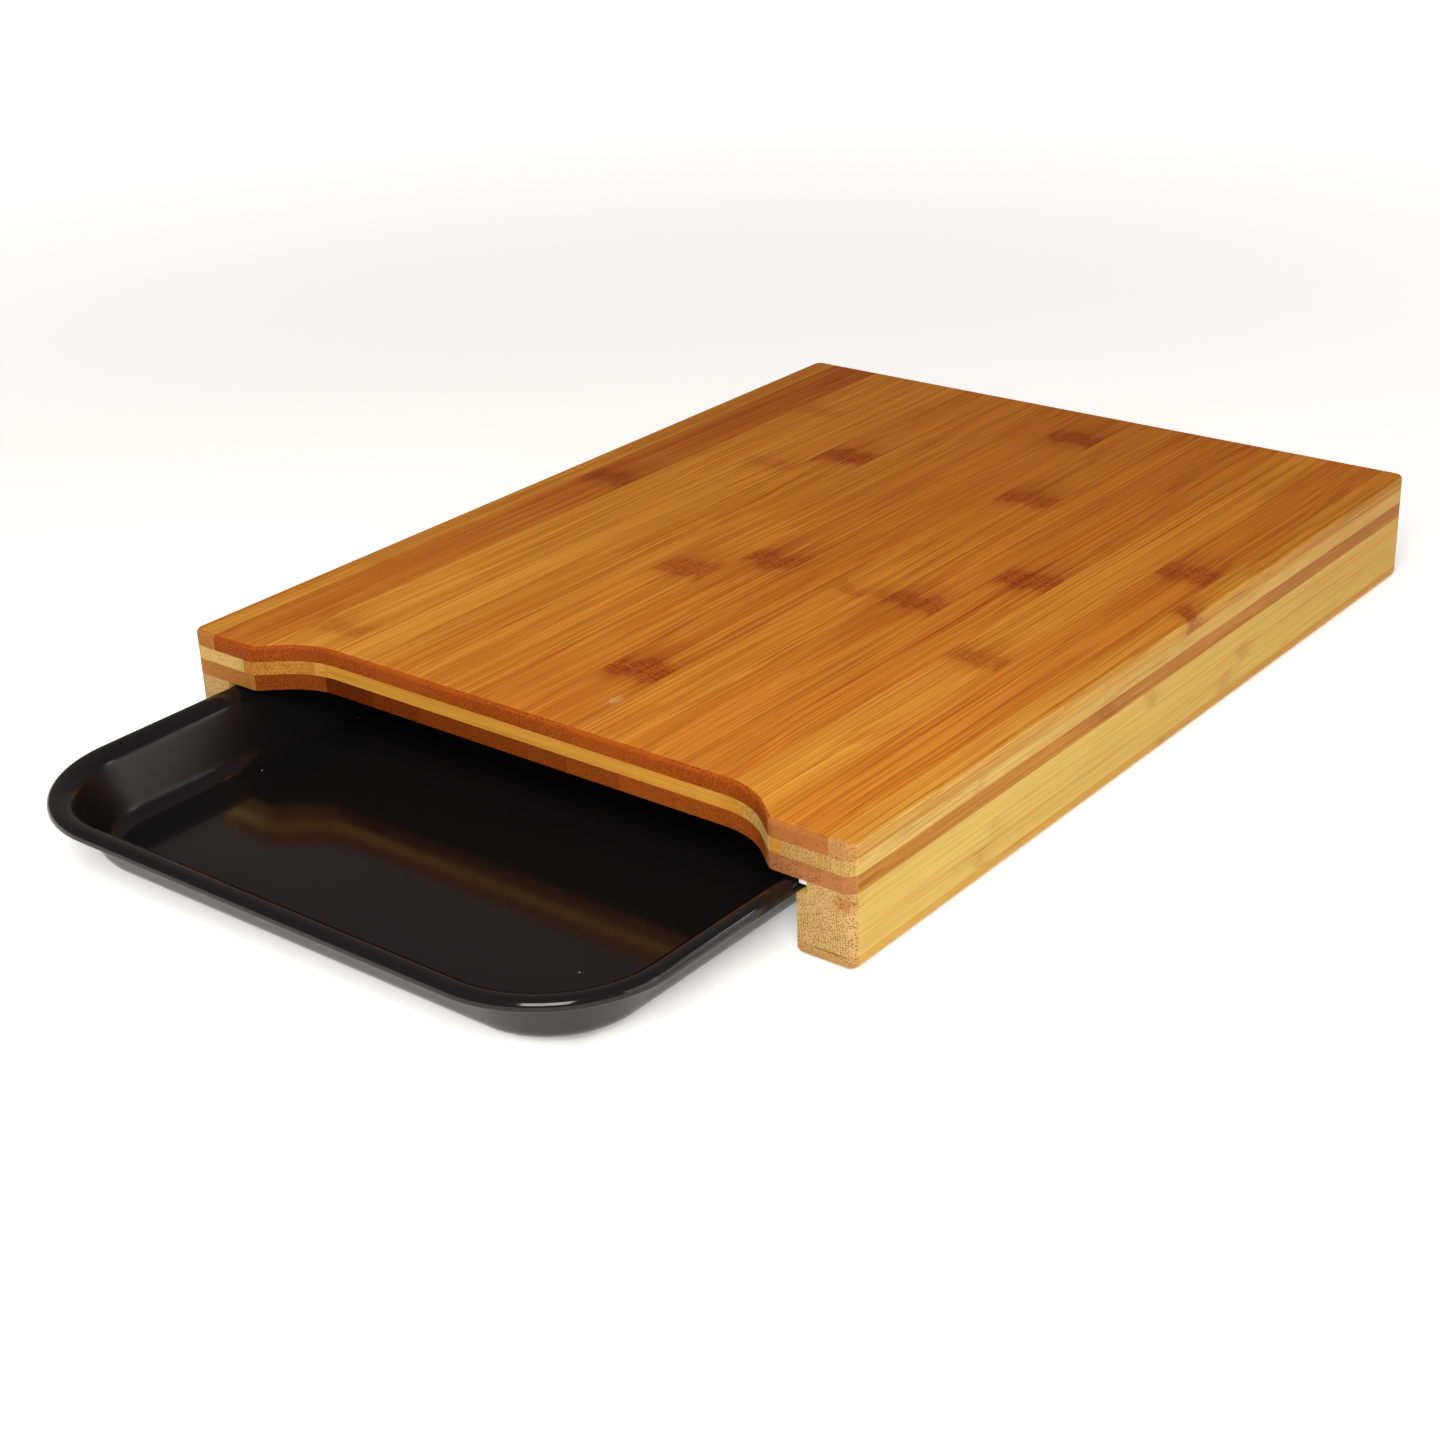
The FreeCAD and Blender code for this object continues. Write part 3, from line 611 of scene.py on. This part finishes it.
def rounded_run(corners, radii, steps):
    """The points of a run with its corners rounded. With unit directions a into a corner c and
    b out of it, and t the angle between them, the arc of radius r starts at c - a r tan(t/2)
    and ends at c + b r tan(t/2). Its points are its centre plus the first and last radius
    weighted by sin((1-u)t)/sin t and sin(ut)/sin t, with u from 0 to 1. Two points near the
    ends of each straight keep the shading flat between them."""
    corners, radii = np.array(corners, float), np.array(radii, float)[:, None]
    inward = corners[1:-1] - corners[:-2]
    outward = corners[2:] - corners[1:-1]
    a = inward / np.linalg.norm(inward, axis=1, keepdims=True)
    b = outward / np.linalg.norm(outward, axis=1, keepdims=True)
    t = np.arccos(np.clip((a * b).sum(1, keepdims=True), -1.0, 1.0))
    start = corners[1:-1] - a * radii * np.tan(t / 2)
    end = corners[1:-1] + b * radii * np.tan(t / 2)
    inner = (b - a) / np.linalg.norm(b - a, axis=1, keepdims=True)
    centre = corners[1:-1] + inner * radii / np.cos(t / 2)
    u = np.linspace(0.0, 1.0, steps)[None, :, None]
    turn = t[:, :, None]
    arcs = (centre[:, None] + (start - centre)[:, None] * np.sin((1 - u) * turn) / np.sin(turn)
            + (end - centre)[:, None] * np.sin(u * turn) / np.sin(turn))
    before = np.vstack([corners[:1], arcs[:, -1]])
    after = np.vstack([arcs[:, 0], corners[-1:]])
    gap = (after - before)[:, None]
    shares = np.array([0.04, 0.5, 0.96])[None, :, None]
    straights = before[:, None] + gap * shares
    parts = [corners[:1], straights[0]]
    for arc, straight in zip(arcs, straights[1:]):
        parts += [arc, straight]
    return np.vstack(parts + [corners[-1:]])


def rounded_rectangle(half, front, back, radius, steps):
    """A path round a rectangle with its corners rounded, anticlockwise from above. It gives a
    point on the rectangle through the corner centres, and the outward direction there: a
    surface point at inset d is that point plus (radius - d) times the direction."""
    turn = np.linspace(0.0, np.pi / 2, steps)
    shares = np.array([0.004, 0.02, 0.08, 0.2, 0.35, 0.5, 0.65, 0.8, 0.92, 0.98, 0.996])
    w, y0, y1 = half - radius, front + radius, back - radius
    stations = np.array([(w, y0), (w, y1), (-w, y1), (-w, y0)])
    places, directions = [], []
    for i in range(4):
        angle = turn + (i - 1) * np.pi / 2
        places.append(np.repeat(stations[i:i + 1], steps, 0))
        directions.append(np.stack([np.cos(angle), np.sin(angle)], 1))
        to_next = stations[(i + 1) % 4] - stations[i]
        places.append(stations[i] + shares[:, None] * to_next)
        directions.append(np.repeat(directions[-1][-1:], len(shares), 0))
    return np.vstack(places), np.vstack(directions)


def swept_moulding(name, profile, path, radius, across):
    """A closed thin moulding: each point (inset, height) of the profile is carried round the
    path, to path place + (radius - inset) * path direction, and the two flats it starts and
    ends on are closed by one level face each."""
    places, directions = path
    reach = radius - profile[:, 0]
    flat = places[:, None, :] + reach[None, :, None] * directions[:, None, :]
    height = np.broadcast_to(profile[:, 1], flat.shape[:2])
    grid = np.dstack([flat[..., 0] + across, flat[..., 1], height]) / 1000.0
    rows, columns = height.shape
    index = np.arange(rows * columns).reshape(rows, columns)
    ahead = np.roll(index, -1, 0)
    quads = np.stack([index[:, :-1], index[:, 1:], ahead[:, 1:], ahead[:, :-1]], -1).reshape(-1, 4)
    faces = quads.tolist() + [index[:, 0].tolist(), index[::-1, -1].tolist()]
    mesh = bpy.data.meshes.new(name)
    mesh.from_pydata(grid.reshape(-1, 3).tolist(), [], faces)
    mesh.shade_smooth()
    moulding = bpy.data.objects.new(name, mesh)
    bpy.context.scene.collection.objects.link(moulding)
    return moulding


tray_profile = rounded_run(
    [(FLOOR_INSET, FLOOR_TOP),
     (MOUTH + (RIM_TOP - FLOOR_TOP) * WALL_SLOPE, FLOOR_TOP),
     (MOUTH, RIM_TOP),
     (0.0, RIM_TOP),
     (0.0, RIM_BOTTOM),
     (OVERHANG, RIM_BOTTOM),
     (OVERHANG + (RIM_BOTTOM - FLOOR_BOTTOM) * WALL_SLOPE, FLOOR_BOTTOM),
     (FLOOR_INSET, FLOOR_BOTTOM)],
    [FLOOR_BEND, INNER_ROLL, OUTER_ROLL, LOWER_ROUND, RIM_ROOT_ROUND, FLOOR_BEND], steps=13)
tray_path = rounded_rectangle(RIM_HALF, TRAY_FRONT, TRAY_BACK, RIM_CORNER, steps=37)
tray = swept_moulding("drawer_tray_moulding", tray_profile, tray_path, RIM_CORNER, TRAY_CENTRE)

# Handling: smudges that dull the gloss a little, and a few fine specks of dust.
handling, given, result = new_group(
    "handling", [("Place", "vector"), ("Specks", "number")],
    [("Smudge", "number"), ("Speck", "number")])
smudge = noise_at(handling, given["Place"], (0.018, 0.013, 0.018), detail=3.0, roughness=0.6)
fine = noise_at(handling, given["Place"], (0.25, 0.25, 0.25), detail=2.0)
feed(handling, result["Smudge"], calc(handling, "MULTIPLY_ADD", fine, 0.35, smudge))
sown = add_node(handling, "ShaderNodeTexVoronoi", feature="F1")
feed(handling, sown.inputs["Vector"], given["Place"])
sown.inputs["Scale"].default_value = 0.052
speck = fade(handling, sown.outputs["Distance"], 0.010, 0.020, 1.0, 0.0)
feed(handling, result["Speck"], calc(handling, "MULTIPLY", speck, given["Specks"]))

gloss_black, tree, shader = new_material("tray_gloss_black")
where = add_node(tree, "ShaderNodeTexCoord")
place = vector_calc(tree, "MULTIPLY", where.outputs["Object"], TO_MM)
handled = use_group(tree, handling, Place=place, Specks=0.8)
feed(tree, shader.inputs["Base Color"],
     blend_colours(tree, handled["Speck"], (0.0050, 0.0048, 0.0052), (0.42, 0.40, 0.38)))
axes = apart(tree, place)
height = axes[2]
on_wall = calc(tree, "MULTIPLY", fade(tree, height, 4.5, 9.0),
               fade(tree, height, 21.0, 24.5, 1.0, 0.0))
wall_dulled = calc(tree, "MULTIPLY_ADD", on_wall, 0.20, 0.11)
dulled = calc(tree, "MULTIPLY_ADD", handled["Smudge"], 0.10, wall_dulled)
feed(tree, shader.inputs["Roughness"], calc(tree, "MULTIPLY_ADD", handled["Speck"], 0.4, dulled))
shader.inputs["IOR"].default_value = 1.50
shader.inputs["Specular IOR Level"].default_value = 0.32
roughen(tree, shader, noise_at(tree, place, (0.10, 0.10, 0.10), detail=1.0), 0.10, 0.0002)
tray.data.materials.append(gloss_black)
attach(tray, "tray")
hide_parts("drawer_tray")

# ---------------------------------------------------------------------------
# Studio. A plain pale floor that glows as a light table does, but not under the board, with
# a key light at the front right, soft fills above, at the front and at the right, and two
# panels at the back right, which the walls and the rim of the tray mirror.
# ---------------------------------------------------------------------------
FLOOR_REACH = 9.0            # m
FLOOR_LEVEL = -0.0004
SHADE_CENTRE = (0.0, 0.005, 0.0)
SHADE_HALF = (0.100, 0.216, 0.0)
SHADE_BLUR = 0.012

floor_mesh = bpy.data.meshes.new("studio_floor")
floor_mesh.from_pydata([(x * FLOOR_REACH, y * FLOOR_REACH, FLOOR_LEVEL)
                        for x, y in ((-1, -1), (1, -1), (1, 1), (-1, 1))], [], [(0, 1, 2, 3)])
floor = bpy.data.objects.new("studio_floor", floor_mesh)
bpy.context.scene.collection.objects.link(floor)
floor_paint, tree, shader = new_material("studio_floor_paint")
shader.inputs["Base Color"].default_value = (0.86, 0.86, 0.86, 1.0)
shader.inputs["Roughness"].default_value = 0.9
shader.inputs["Specular IOR Level"].default_value = 0.1
on_floor = add_node(tree, "ShaderNodeTexCoord").outputs["Object"]
away = add_node(tree, "ShaderNodeVectorMath", operation="LENGTH")
feed(tree, away.inputs[0], on_floor)
glow = blend_colours(tree, fade(tree, away.outputs["Value"], 0.35, 1.4),
                     (0.40, 0.40, 0.40), (0.85, 0.85, 0.85))
# How far a place lies outside the shaded rectangle under the board, along each axis.
beyond = vector_calc(tree, "ABSOLUTE", vector_calc(tree, "SUBTRACT", on_floor, SHADE_CENTRE))
beyond = vector_calc(tree, "SUBTRACT", beyond, SHADE_HALF)
axes = apart(tree, beyond)
farthest = calc(tree, "MAXIMUM", axes[0], axes[1])
outside = fade(tree, farthest, -SHADE_BLUR, SHADE_BLUR)
feed(tree, shader.inputs["Emission Color"], blend_colours(tree, outside, (0.0, 0.0, 0.0), glow))
shader.inputs["Emission Strength"].default_value = 1.0
floor.data.materials.append(floor_paint)

world = bpy.data.worlds.new("studio_air")
world.use_nodes = True
world.node_tree.nodes["Background"].inputs["Color"].default_value = (0.205, 0.185, 0.180, 1.0)
bpy.context.scene.world = world


def add_panel(name, spot, target, size, power, colour=(1.0, 1.0, 1.0), mirrored=True):
    """A square soft light at a spot, facing a target, that gloss mirrors or doesn't."""
    light = bpy.data.lights.new(name, "AREA")
    light.size = size
    light.energy = power
    light.color = colour
    panel = bpy.data.objects.new(name, light)
    panel.location = spot
    panel.rotation_euler = (Vector(target) - Vector(spot)).to_track_quat("-Z", "Y").to_euler()
    panel.visible_glossy = mirrored
    bpy.context.scene.collection.objects.link(panel)


add_panel("key_light", (0.50, -0.79, 0.63), (0.05, -0.05, 0.03), 0.50, 11.4, (1.0, 0.98, 0.92))
add_panel("overhead_light", (0.0, -0.45, 0.90), (0.0, -0.10, 0.0), 0.70, 3.1, (1.0, 0.94, 0.84),
          mirrored=False)
add_panel("front_fill", (-0.55, -1.05, 0.42), (-0.05, -0.13, 0.03), 0.50, 1.2, mirrored=False)
add_panel("right_fill", (1.30, 0.10, 0.28), (0.10, 0.05, 0.03), 0.60, 2.6, (1.0, 0.97, 0.93))
add_panel("side_panel", (1.157, 0.68, 0.508), (-0.1, -0.15, 0.02), 0.75, 3.3, (1.0, 0.98, 0.95))
add_panel("rim_light", (0.636, 0.64, 0.70), (0.12, -0.18, 0.02), 0.11, 0.45, (0.90, 0.95, 1.0))

# Camera, looking from the front right and above
CAMERA_SPOT = (0.51214, -0.64253, 0.38074)
LENS, SENSOR = 60.67, 36.0   # mm
AZIMUTH, ELEVATION, ROLL = math.radians(39.37), math.radians(25.31), math.radians(-2.32)
backwards = Vector((math.sin(AZIMUTH) * math.cos(ELEVATION),
                    -math.cos(AZIMUTH) * math.cos(ELEVATION), math.sin(ELEVATION)))
level = (-backwards).cross(Vector((0.0, 0.0, 1.0))).normalized()
upright = level.cross(-backwards)
right = level * math.cos(ROLL) + upright * math.sin(ROLL)
top = upright * math.cos(ROLL) - level * math.sin(ROLL)
camera_data = bpy.data.cameras.new("camera")
camera_data.sensor_width = SENSOR
camera_data.lens = LENS
camera = bpy.data.objects.new("camera", camera_data)
camera.matrix_world = Matrix.Translation(CAMERA_SPOT) @ Matrix(
    (right, top, backwards)).transposed().to_4x4()
bpy.context.scene.collection.objects.link(camera)
bpy.context.scene.camera = camera
bpy.context.scene.view_settings.view_transform = "Standard"
